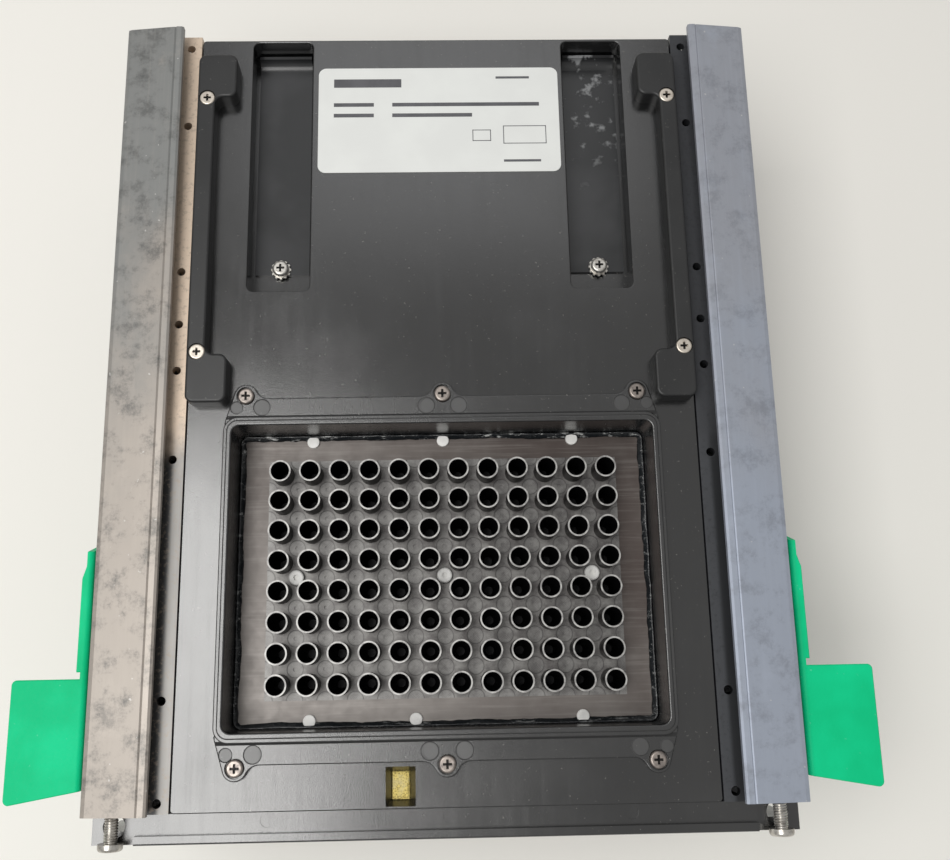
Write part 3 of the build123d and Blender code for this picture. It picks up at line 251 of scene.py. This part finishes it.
def rail_metal(name, warm, cool, ledge, shaded_ledge_front, mottled):
    """Hard anodised rail, handled and rubbed, with separate ledge colours that hold painted light and
    shade.
    """
    s = Shader(name, metallic=0.35)
    clouds = s.noise(34 * MM, 6, 0.62, stretch=(1, 1.8, 1))
    # Warm in front and cool at the rear: this stands in for uneven light, so it shows in any light.
    rear = s.span(s.axis(1), -80 * MM, 115 * MM)
    tone = s.math("ADD", s.math("MULTIPLY", clouds, 0.8), s.math("MULTIPLY", rear, 0.45))
    shade = s.mix(s.span(tone, 0.44, 0.80), warm, cool)
    rubs = s.span(s.noise(11 * MM, 9, 0.78), 0.47, 0.68)
    shade = s.mix(s.math("MULTIPLY", rubs, mottled), shade, tuple(c * 0.40 for c in cool))
    smears = s.span(s.noise(14 * MM, 6, 0.66, offset=(3, 1, 0)), 0.54, 0.74)
    shade = s.mix(s.math("MULTIPLY", smears, 0.35), shade, tuple(min(1.0, c * 1.22) for c in warm))
    streaks = s.noise(1.1 * MM, 3, 0.6, stretch=(1, 30, 1))
    shade = s.mix(s.math("MULTIPLY", s.span(streaks, 0.45, 0.75), 0.10), shade,
                  tuple(min(1.0, c * 1.3) for c in warm))
    nicks = s.span(s.noise(1.8 * MM, 2, 0.4), 0.745, 0.775)
    shade = s.mix(s.math("MULTIPLY", nicks, 0.6), shade, (0.62, 0.61, 0.59))
    # The ledge lies at deck height, inboard of the lip.
    across = s.math("ABSOLUTE", s.axis(0))
    low = s.math("LESS_THAN", s.axis(2), deck_top + 0.3 * MM)
    on_ledge = s.math("MULTIPLY", s.math("LESS_THAN", across, ledge_edge), low)
    grime = s.math("MULTIPLY", s.span(s.noise(1.3 * MM, 4, 0.7), 0.50, 0.68), 0.45)
    # Painted shadow: towards the lip the ledge is coloured near black, as shade under the lip.
    under_lip_shade = s.math("MULTIPLY", s.span(across, *lip_shadow_band), 0.9)
    shaded_front = s.mix(under_lip_shade, shaded_ledge_front, (0.012, 0.013, 0.015))
    # Painted light and shade: the ledge's front part takes a darker colour than its rear.
    along = s.math("MULTIPLY_ADD", s.noise(6 * MM, 3), 16 * MM, s.axis(1))
    ledge_shade_and_grime = s.mix(s.span(along, *ledge_shade_end), shaded_front, ledge)
    ledge_shade_and_grime = s.mix(grime, ledge_shade_and_grime, tuple(c * 0.45 for c in ledge))
    s.colour(s.mix(on_ledge, shade, ledge_shade_and_grime))
    s.rough(s.math("MULTIPLY_ADD", clouds, 0.30, 0.30))
    height = s.math("ADD", s.math("MULTIPLY", streaks, 0.25), s.noise(0.5 * MM, 3))
    s.bump(height, 0.02 * MM, 0.6)
    return s.material


def cell_radius(s, shift):
    """Distance from the nearest point of a grid at the wells' pitch, moved by shift."""
    half = pitch / 2
    x = s.math("WRAP", s.math("SUBTRACT", s.axis(0), shift), half, -half)
    y = s.math("WRAP", s.math("SUBTRACT", s.axis(1), grid.y + shift), half, -half)
    return s.math("SQRT", s.math("ADD", s.math("MULTIPLY", x, x), s.math("MULTIPLY", y, y)))


def block_metal():
    """Machined block: stained plate, spot faces, bright rims, and painted shade on dark sleeves and
    black well walls.
    """
    s = Shader("block_metal", metallic=0.55)
    radius = cell_radius(s, pitch / 2)
    spot = cell_radius(s, 0.0)
    z = s.axis(2)
    above = s.math("GREATER_THAN", z, plate_top + 0.05 * MM)
    off_y = s.math("ABSOLUTE", s.math("SUBTRACT", s.axis(1), grid.y))
    inside_x = s.math("LESS_THAN", s.math("ABSOLUTE", s.axis(0)), grid_half[0])
    inside_y = s.math("LESS_THAN", off_y, grid_half[1])
    in_grid = s.math("MULTIPLY", inside_x, inside_y)
    bore = s.math("MULTIPLY", s.math("LESS_THAN", radius, bore_radius), in_grid)
    rim = s.math("MULTIPLY", s.math("GREATER_THAN", z, rim_z - 0.15 * MM),
                 s.math("GREATER_THAN", radius, rim_inner))
    brushed = s.noise(0.8 * MM, 4, 0.6, stretch=(26, 1, 1))
    stain = s.noise(22 * MM, 5, 0.6)
    cloudy = s.noise(4 * MM, 6, 0.68)
    # The plate is lighter to the left and front. This stands in for a window's reflection.
    leftward = s.span(s.axis(0), 60 * MM, -60 * MM)
    forward = s.span(s.axis(1), grid.y + 20 * MM, grid.y - 46 * MM)
    lit = s.math("ADD", s.math("MULTIPLY", leftward, 0.5), s.math("MULTIPLY", forward, 0.45))
    tone = s.math("ADD", s.math("MULTIPLY", lit, 0.55), s.math("MULTIPLY", stain, 0.6))
    plate = s.mix(s.span(tone, 0.20, 0.85), (0.078, 0.061, 0.055), (0.205, 0.189, 0.177))
    plate = s.mix(s.math("MULTIPLY", s.span(brushed, 0.45, 0.75), 0.22), plate, (0.36, 0.34, 0.32))
    grey = s.mix(s.span(cloudy, 0.36, 0.66), (0.095, 0.094, 0.096), (0.315, 0.315, 0.306))
    plate = s.mix(s.math("MULTIPLY", in_grid, 0.62), plate, grey)
    # Each spot face has swirls, and at its edge a dark line that is painted shade at its step.
    in_spot = s.math("MULTIPLY", s.math("LESS_THAN", spot, spot_radius), in_grid)
    swirls = s.math("SINE", s.math("MULTIPLY", spot, 2 * math.pi / (0.42 * MM)))
    turned = s.math("MULTIPLY", in_spot, s.span(swirls, -0.6, 1.0, 0.05, 0.26))
    plate = s.mix(turned, plate, (0.42, 0.42, 0.41))
    from_edge = s.math("ABSOLUTE", s.math("SUBTRACT", spot, spot_radius))
    edge = s.math("MULTIPLY", s.math("LESS_THAN", from_edge, 0.16 * MM), in_grid)
    plate = s.mix(s.math("MULTIPLY", edge, 0.5), plate, (0.03, 0.03, 0.03))
    # Painted shade: the sleeves between rims and plate are coloured near black, as shade among the
    # wells.
    sleeve = s.mix(s.span(s.noise(1.5 * MM, 3), 0.4, 0.7),
                   (0.018, 0.016, 0.015), (0.05, 0.045, 0.042))
    bright = s.mix(s.span(s.noise(2 * MM), 0.35, 0.65), (0.24, 0.235, 0.23), (0.46, 0.455, 0.44))
    shade = s.mix(above, plate, sleeve)
    shade = s.mix(rim, shade, bright)
    # Painted shade: the well bores are coloured near black, as shade deep in the wells.
    shade = s.mix(bore, shade, (0.004, 0.004, 0.005))
    s.colour(shade)
    s.rough(s.math("MULTIPLY_ADD", cloudy, 0.30, 0.30))
    s.bump(s.math("ADD", s.math("MULTIPLY", brushed, 0.5), s.noise(0.3 * MM, 2)), 0.015 * MM, 0.5)
    return s.material


def green_coating():
    """Powder coat with a fine orange-peel texture."""
    s = Shader("green_coating", roughness=0.42)
    s.bsdf.inputs["Specular IOR Level"].default_value = 0.10
    peel = s.noise(0.9 * MM, 3, 0.5)
    shade = s.mix(s.span(s.noise(22 * MM, 3), 0.35, 0.7), (0.004, 0.52, 0.215), (0.006, 0.62, 0.275))
    s.colour(s.mix(s.math("MULTIPLY", s.span(s.noise(1.6 * MM, 2), 0.72, 0.78), 0.5), shade,
                   (0.16, 0.66, 0.42)))
    s.rough(s.math("MULTIPLY_ADD", peel, 0.2, 0.36))
    s.bump(peel, 0.10 * MM, 0.9)
    return s.material


def plated_steel(name, light=(0.62, 0.60, 0.56), dark=(0.33, 0.31, 0.28), roughness=0.26):
    """Zinc-plated steel with slight tarnish."""
    s = Shader(name, metallic=0.95)
    tarnish = s.noise(1.6 * MM, 4, 0.6)
    s.colour(s.mix(s.span(tarnish, 0.35, 0.72), light, dark))
    s.rough(s.math("MULTIPLY_ADD", tarnish, 0.3, roughness - 0.1))
    s.bump(s.noise(0.25 * MM, 3), 0.01 * MM, 0.5)
    return s.material


def crossed(s, centres, reach):
    """1 inside the crossed recess of each screw, whose centres are given as (|x|, y)."""
    total = 0.0
    for centre_x, centre_y in centres:
        dx = s.math("ABSOLUTE", s.math("SUBTRACT", s.math("ABSOLUTE", s.axis(0)), centre_x))
        dy = s.math("ABSOLUTE", s.math("SUBTRACT", s.axis(1), centre_y))
        for a, b in ((dx, dy), (dy, dx)):
            bar = s.math("MULTIPLY", s.math("LESS_THAN", a, 0.36 * MM), s.math("LESS_THAN", b, reach))
            total = s.math("ADD", total, bar)
    return total


def recessed_screw(name, light, dark, centres, reach=1.3 * MM):
    """Plated screw with painted shade, near black, in its crossed recess."""
    s = Shader(name, metallic=0.8)
    tarnish = s.noise(1.6 * MM, 4, 0.6)
    plating = s.mix(s.span(tarnish, 0.35, 0.72), light, dark)
    # Painted shade: the crossed recess is coloured near black.
    s.colour(s.mix(s.math("MULTIPLY", crossed(s, centres, reach), 0.92), plating, (0.006, 0.006, 0.006)))
    s.rough(s.math("MULTIPLY_ADD", tarnish, 0.3, 0.22))
    s.bump(s.noise(0.25 * MM, 3), 0.01 * MM, 0.5)
    return s.material


def sheet_metal(name, base, roughness=0.42, metallic=0.85):
    """Rolled sheet or extrusion with long, faint rolling lines."""
    s = Shader(name, metallic=metallic)
    lines = s.noise(0.9 * MM, 4, 0.6, stretch=(1, 40, 1))
    cloud = s.noise(45 * MM, 4)
    darker = tuple(c * 0.8 for c in base)
    s.colour(s.mix(s.math("MULTIPLY_ADD", lines, 0.4, s.math("MULTIPLY", cloud, 0.5)), base, darker))
    s.rough(s.math("MULTIPLY_ADD", lines, 0.18, roughness - 0.08))
    s.bump(lines, 0.015 * MM, 0.5)
    return s.material


def plain_moulded(name, base, roughness=0.45, size=0.5 * MM, metallic=0.0):
    """Smooth filled plastic, ceramic or rubber with slight mottling and grain."""
    s = Shader(name, metallic=metallic)
    cloud = s.noise(6 * MM, 4, 0.6)
    s.colour(s.mix(s.span(cloud, 0.35, 0.7), base, tuple(c * 0.78 for c in base)))
    s.rough(s.math("MULTIPLY_ADD", cloud, 0.16, roughness - 0.08))
    s.bump(s.noise(size, 3), 0.03 * MM, 0.6)
    return s.material


def foam():
    """Yellowed open-cell foam, with painted shade in its pores."""
    s = Shader("foam", roughness=0.9)
    pores = s.cells(0.55 * MM)
    # Painted shade: darker towards the middle of each cell, in the pores.
    shade = s.mix(s.span(pores, 0.1, 0.6), (0.34, 0.25, 0.07), (0.78, 0.63, 0.20))
    s.colour(s.mix(s.span(s.noise(3 * MM), 0.45, 0.75), shade, (0.66, 0.57, 0.28)))
    s.bump(pores, 0.25 * MM, 1.0)
    return s.material


def sealant():
    """Cured sealant: dark and glassy where thin; pale lines, most along the rear, part dried sealant,
    part painted glints.
    """
    s = Shader("sealant", roughness=0.22)
    lines = s.noise(1.6 * MM, 6, 0.72, stretch=(3.5, 1, 1))
    rear = s.span(s.axis(1), grid.y + 36 * MM, grid.y + 43 * MM, 0.28, 1.0)
    # Partly painted highlight: the pale lines stand for dried sealant and also for glints on the bead.
    milky_and_glints = s.math("MULTIPLY", s.span(lines, 0.55, 0.64), rear)
    s.colour(s.mix(milky_and_glints, (0.012, 0.014, 0.016), (0.60, 0.61, 0.60)))
    s.rough(s.math("MULTIPLY_ADD", milky_and_glints, 0.25, 0.14))
    s.bump(s.noise(0.8 * MM, 4, 0.6), 0.15 * MM, 0.8)
    return s.material


def label_foil():
    """Matte silver-white printed foil."""
    s = Shader("label_foil", roughness=0.38)
    cloud = s.noise(16 * MM, 3)
    s.colour(s.mix(s.span(cloud, 0.35, 0.7), (0.70, 0.712, 0.695), (0.735, 0.75, 0.73)))
    s.rough(s.math("MULTIPLY_ADD", cloud, 0.12, 0.33))
    s.bump(s.noise(0.2 * MM, 2), 0.008 * MM, 0.4)
    return s.material


def circuit_board():
    """Green solder resist with faint tracks."""
    s = Shader("circuit_board", roughness=0.35)
    tracks = s.add("ShaderNodeTexBrick")
    tracks.inputs["Scale"].default_value = 120.0
    tracks.inputs["Color1"].default_value = (0.012, 0.16, 0.06, 1)
    tracks.inputs["Color2"].default_value = (0.010, 0.13, 0.05, 1)
    tracks.inputs["Mortar"].default_value = (0.03, 0.27, 0.11, 1)
    s.join(s.place, tracks.inputs["Vector"])
    s.colour(tracks.outputs["Color"])
    s.rough(s.math("MULTIPLY_ADD", s.noise(4 * MM), 0.15, 0.28))
    return s.material


black = moulded_black("moulded_black", 0.005, 0.16)
frame_black = moulded_black("frame_black", 0.005, 0.22, dust=0.7, grain=1.0, seed=3.0, marks=frame_marks)
bracket_black = moulded_black("bracket_black", 0.009, 0.34, ior=1.5, seed=7.0)
zinc = plated_steel("zinc")
chassis_metal = sheet_metal("chassis_metal", (0.46, 0.47, 0.48))
fin_metal = sheet_metal("fin_metal", (0.72, 0.73, 0.74), 0.36)
white_plastic = plain_moulded("white_plastic", (0.95, 0.945, 0.92), 0.4)
ceramic = plain_moulded("ceramic", (0.86, 0.86, 0.83), 0.6)
graphite = plain_moulded("graphite", (0.05, 0.05, 0.055), 0.5, metallic=0.4)
rubber = plain_moulded("gasket_rubber", (0.025, 0.025, 0.026), 0.8)
component = plain_moulded("component_black", (0.02, 0.02, 0.021), 0.5)
contact = sheet_metal("contact_gold", (0.83, 0.60, 0.22), 0.3)
insulation = plain_moulded("wire_insulation", (0.45, 0.03, 0.025), 0.45)
foam_yellow = foam()
sealant_clear = sealant()
label_white = label_foil()
print_grey = plain_moulded("label_print", (0.10, 0.10, 0.11), 0.5)

# The two rails are the same metal; their tints and ledge colours differ as painted reflections.
finishes = {
    "deck_panel": black, "front_bezel": black, "well_frame": frame_black,
    "left_guide_bracket": bracket_black, "right_guide_bracket": bracket_black,
    "left_pocket_strip": pocket_black(), "right_pocket_strip": pocket_black(),
    "left_rail": rail_metal("left_rail_metal", (0.37, 0.333, 0.297), (0.225, 0.23, 0.225),
                            (0.62, 0.50, 0.39), (0.27, 0.262, 0.25), 0.80),
    "right_rail": rail_metal("right_rail_metal", (0.335, 0.37, 0.44), (0.315, 0.33, 0.37),
                             (0.045, 0.047, 0.052), (0.055, 0.058, 0.064), 0.42),
    "sample_block": block_metal(), "heat_sink": fin_metal,
    "left_release_lever": green_coating(), "right_release_lever": green_coating(),
    "rating_label": label_white, "window_pad": foam_yellow, "sealant_bead": sealant_clear,
    "block_centre_screws": white_plastic, "block_edge_screws": white_plastic,
    "bracket_screws": recessed_screw("bracket_screw_zinc", (0.70, 0.64, 0.56), (0.50, 0.45, 0.39),
                                     bracket_screw_centres, 1.1 * MM),
    "frame_screws": recessed_screw("frame_screw_zinc", (0.34, 0.30, 0.27), (0.17, 0.15, 0.14),
                                   frame_screw_centres),
    "strip_screws": recessed_screw("strip_screw_zinc", (0.66, 0.64, 0.60), (0.40, 0.38, 0.35),
                                   strip_screw_centres),
    "chassis_tray": chassis_metal, "chassis_front_wall": chassis_metal,
    "chassis_rear_wall": chassis_metal, "sink_support_angles": chassis_metal,
    "insulation_gasket": rubber, "lower_thermal_pads": graphite, "upper_thermal_pads": graphite,
    "lower_ceramic_plates": ceramic, "upper_ceramic_plates": ceramic,
    "semiconductor_pellets": graphite, "module_leads": insulation,
    "control_board": circuit_board(), "board_components": component,
    "rear_connector": component, "connector_contacts": contact,
}
for name, obj in nodes.items():
    obj.data.materials.clear()
    obj.data.materials.append(finishes.get(name, zinc))


# ---------------------------------------------------------------- mesh helpers
def piece(name, verts, faces, material, body=BODY, smooth=True):
    """A new mesh piece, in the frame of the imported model, riding on a body."""
    mesh = bpy.data.meshes.new(name)
    mesh.from_pydata([tuple(v) for v in verts], [], faces)
    mesh.materials.append(material)
    for polygon in mesh.polygons:
        polygon.use_smooth = smooth
    mesh.update()
    obj = bpy.data.objects.new(name, mesh)
    bpy.context.scene.collection.objects.link(obj)
    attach(obj, body)
    return obj


def tube_faces(rings, around, closed=False):
    """Quads joining rings of equal size; closed joins the last ring to the first."""
    faces = []
    last = rings if closed else rings - 1
    for i in range(last):
        j = (i + 1) % rings
        for k in range(around):
            m = (k + 1) % around
            faces.append((i * around + k, i * around + m, j * around + m, j * around + k))
    return faces


def rounded_path(centre, width, depth, radius, step):
    """Points (position, inward direction) round a rounded rectangle."""
    points = []
    corners = ((1, 1), (-1, 1), (-1, -1), (1, -1))
    for n, (sx, sy) in enumerate(corners):
        cx = centre.x + sx * (width / 2 - radius)
        cy = centre.y + sy * (depth / 2 - radius)
        for a in range(7):
            angle = math.radians(90 * n + 15 * a)
            out = Vector((math.cos(angle), math.sin(angle), 0))
            points.append((Vector((cx, cy, 0)) + out * radius, -out))
        nx, ny = corners[(n + 1) % 4]
        run = width - 2 * radius if sy == ny else depth - 2 * radius
        start, inward = points[-1]
        along = Vector((nx - sx, ny - sy, 0)).normalized()
        for k in range(1, int(run / step)):
            points.append((start + along * run * k / int(run / step), inward))
    return points


# ---------------------------------------------------------------- sealant bead
def sealant_ring():
    """An uneven bead where the block plate meets the wall of the well frame."""
    path = rounded_path(grid, *opening_size, opening_corner, 1.1 * MM)
    # The bead's section, as (how far inward, how high), in widths and heights of the bead.
    profile = ((0.0, 0.0), (0.03, 0.55), (0.14, 0.95), (0.36, 0.82), (0.62, 0.5), (0.85, 0.22),
               (1.0, 0.0))
    verts = []
    for p, inward in path:
        wide = (1.65 + 0.55 * noise.noise(p * 90) + 0.28 * noise.noise(p * 420)) * MM
        tall = (1.2 + 0.6 * noise.noise(p * 130 + Vector((5, 0, 0)))
                + 0.3 * noise.noise(p * 600)) * MM
        wide, tall = max(wide, 0.6 * MM), max(tall, 0.4 * MM)
        for u, v in profile:
            q = p + inward * (u * wide + 0.02 * MM)
            lump = 0.12 * MM * noise.noise(q * 1500 + Vector((0, 0, v * 3)))
            verts.append((q.x, q.y, plate_top + v * tall + lump * v + 0.01 * MM))
    ring = piece("sealant_bead_uneven", verts, tube_faces(len(path), len(profile), closed=True),
                 sealant_clear)
    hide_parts("sealant_bead")


sealant_ring()


# ---------------------------------------------------------------- foam pad
def foam_pad():
    """A torn, crowned block of foam under the window."""
    low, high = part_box("window_pad")
    nx, ny = 22, 32
    verts = []
    for j in range(ny + 1):
        for i in range(nx + 1):
            u, v = 2 * i / nx - 1, 2 * j / ny - 1
            edge = max(abs(u), abs(v))
            x = low.x + (high.x - low.x) * (u * 0.97 + 1) / 2
            y = low.y + (high.y - low.y) * (v * 0.97 + 1) / 2
            spot = Vector((x, y, 0))
            slit = math.exp(-((u * 3.2 + 0.3 * noise.noise(spot * 900)) ** 2)) * (1 - v * v)
            drop = 0.9 * edge ** 8 + 0.45 * slit * (0.5 + noise.noise(spot * 1400))
            drop += 0.35 * (0.5 + noise.noise(spot * 2600))
            verts.append((x, y, high.z - 0.05 * MM - max(drop, 0.0) * MM))
    top = len(verts)
    verts += [(x, y, low.z + 0.02 * MM) for x, y, z in verts]
    faces = []
    row = nx + 1
    for j in range(ny):
        for i in range(nx):
            a = j * row + i
            faces.append((a, a + 1, a + row + 1, a + row))
            faces.append((a + top, a + row + top, a + row + 1 + top, a + 1 + top))
    border = list(range(row)) + [j * row + nx for j in range(1, ny + 1)]
    border += [ny * row + i for i in range(nx - 1, -1, -1)] + [j * row for j in range(ny - 1, 0, -1)]
    for a, b in zip(border, border[1:] + border[:1]):
        faces.append((a, a + top, b + top, b))
    pad = piece("foam_pad_torn", verts, faces, foam_yellow)
    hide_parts("window_pad")


foam_pad()


# ---------------------------------------------------------------- end screw threads
def screw_thread(name, x, z, y_start, y_end, core, crest, lead):
    """A helical thread sleeve along Y."""
    around, per_turn = 36, 8
    steps = int((y_end - y_start) / lead * per_turn)
    verts = []
    for i in range(steps + 1):
        y = y_start + (y_end - y_start) * i / steps
        for k in range(around):
            turn = k / around
            phase = ((y - y_start) / lead + turn) % 1.0
            rise = 1.0 - abs(2.0 * phase - 1.0)
            fade = min(1.0, i / per_turn, (steps - i) / per_turn)
            r = core + (crest - core) * min(1.0, rise * 1.35) * fade
            verts.append((x + r * math.cos(math.tau * turn), y, z + r * math.sin(math.tau * turn)))
    faces = tube_faces(steps + 1, around)
    faces.append(tuple(range(around)))
    faces.append(tuple(reversed(range(steps * around, (steps + 1) * around))))
    return piece(name, verts, faces, zinc)


end_lo, end_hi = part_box("rail_end_screws")
end_z = (end_lo.z + end_hi.z) / 2
end_x = end_hi.x - (end_hi.z - end_lo.z) / 2
head_back = end_lo.y + 2.0 * MM
rail_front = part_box("right_rail")[0].y
for side, side_name in ((-1, "left"), (1, "right")):
    screw_thread(f"{side_name}_end_screw_thread", side * end_x, end_z, head_back, rail_front,
                 core=1.66 * MM, crest=1.95 * MM, lead=0.7 * MM)


# ---------------------------------------------------------------- label print
def label_print():
    """Plain generic bars and boxes where a rating label has its print."""
    low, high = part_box("rating_label")
    # Millimetres from the label's rear left corner: x, y, width and height.
    bars = [(5, 4, 22, 3.0), (58, 3.2, 11, 0.8), (5, 12.6, 13, 1.3), (24, 12.6, 48, 1.3),
            (5, 16.4, 13, 1.3), (24, 16.4, 26, 1.3), (60, 33, 12, 0.8)]
    outlines = [(60, 21, 14, 6.4), (50, 22.4, 6, 4)]
    line = 0.25
    for x, y, w, h in outlines:
        bars += [(x, y, w, line), (x, y + h - line, w, line)]
        bars += [(x, y, line, h), (x + w - line, y, line, h)]
    verts, faces = [], []
    top = high.z + 0.04 * MM
    for x, y, w, h in bars:
        x0, y1 = low.x + x * MM, high.y - y * MM
        x1, y0 = x0 + w * MM, y1 - h * MM
        base = len(verts)
        verts += [(x0, y0, high.z), (x1, y0, high.z), (x1, y1, high.z), (x0, y1, high.z),
                  (x0, y0, top), (x1, y0, top), (x1, y1, top), (x0, y1, top)]
        for quad in ((0, 3, 2, 1), (4, 5, 6, 7), (0, 1, 5, 4), (1, 2, 6, 5), (2, 3, 7, 6),
                     (3, 0, 4, 7)):
            faces.append(tuple(base + q for q in quad))
    piece("label_print_bars", verts, faces, print_grey, smooth=False)


label_print()


# ---------------------------------------------------------------- floor, light, camera
def floor():
    """A wide sheet of plain pale paper under the object."""
    size = 8.0
    z = cad_box[0].z - 0.2 * MM
    mesh = bpy.data.meshes.new("floor")
    mesh.from_pydata([(-size, -size, z), (size, -size, z), (size, size, z), (-size, size, z)],
                     [], [(0, 1, 2, 3)])
    s = Shader("floor_paper", roughness=0.9)
    s.colour(s.mix(s.noise(0.4, 2), (0.86, 0.845, 0.80), (0.87, 0.855, 0.81)))
    mesh.materials.append(s.material)
    obj = bpy.data.objects.new("floor", mesh)
    bpy.context.scene.collection.objects.link(obj)


def area_light(name, place, target, size, power, colour):
    """A soft rectangular light at place, facing target."""
    light = bpy.data.lights.new(name, "AREA")
    light.shape = "RECTANGLE"
    light.size, light.size_y = size
    light.energy = power
    light.color = colour
    obj = bpy.data.objects.new(name, light)
    obj.location = place
    obj.rotation_euler = (Vector(target) - Vector(place)).to_track_quat("-Z", "Y").to_euler()
    bpy.context.scene.collection.objects.link(obj)


def studio():
    """A pale surround, a large window-like light on the left and a small one at the rear."""
    world = bpy.data.worlds.new("studio")
    world.use_nodes = True
    background = world.node_tree.nodes["Background"]
    background.inputs["Color"].default_value = (1.0, 0.99, 0.975, 1.0)
    background.inputs["Strength"].default_value = 0.50
    bpy.context.scene.world = world
    area_light("window_light", place=(-0.385, -0.20, 1.09), target=(-0.385, -0.20, 0),
               size=(0.52, 0.82), power=8.0, colour=(1.0, 0.99, 0.97))
    area_light("rear_fill", place=(0.0, 0.72, 1.09), target=(0.0, 0.6, 0),
               size=(0.5, 0.5), power=0.75, colour=(0.97, 0.98, 1.0))
    bpy.context.scene.view_settings.view_transform = "Standard"


def camera():
    """Looks down on the module from a little in front of its middle."""
    data = bpy.data.cameras.new("camera")
    data.lens = 41.45
    data.sensor_width = 36.0
    data.shift_x = 0.0094
    data.shift_y = -0.0403
    obj = bpy.data.objects.new("camera", data)
    obj.location = (-1.15 * MM, -77.96 * MM, 418.26 * MM)
    obj.rotation_euler = [math.radians(a) for a in (14.104, -1.218, -1.086)]
    bpy.context.scene.collection.objects.link(obj)
    bpy.context.scene.camera = obj


floor()
studio()
camera()
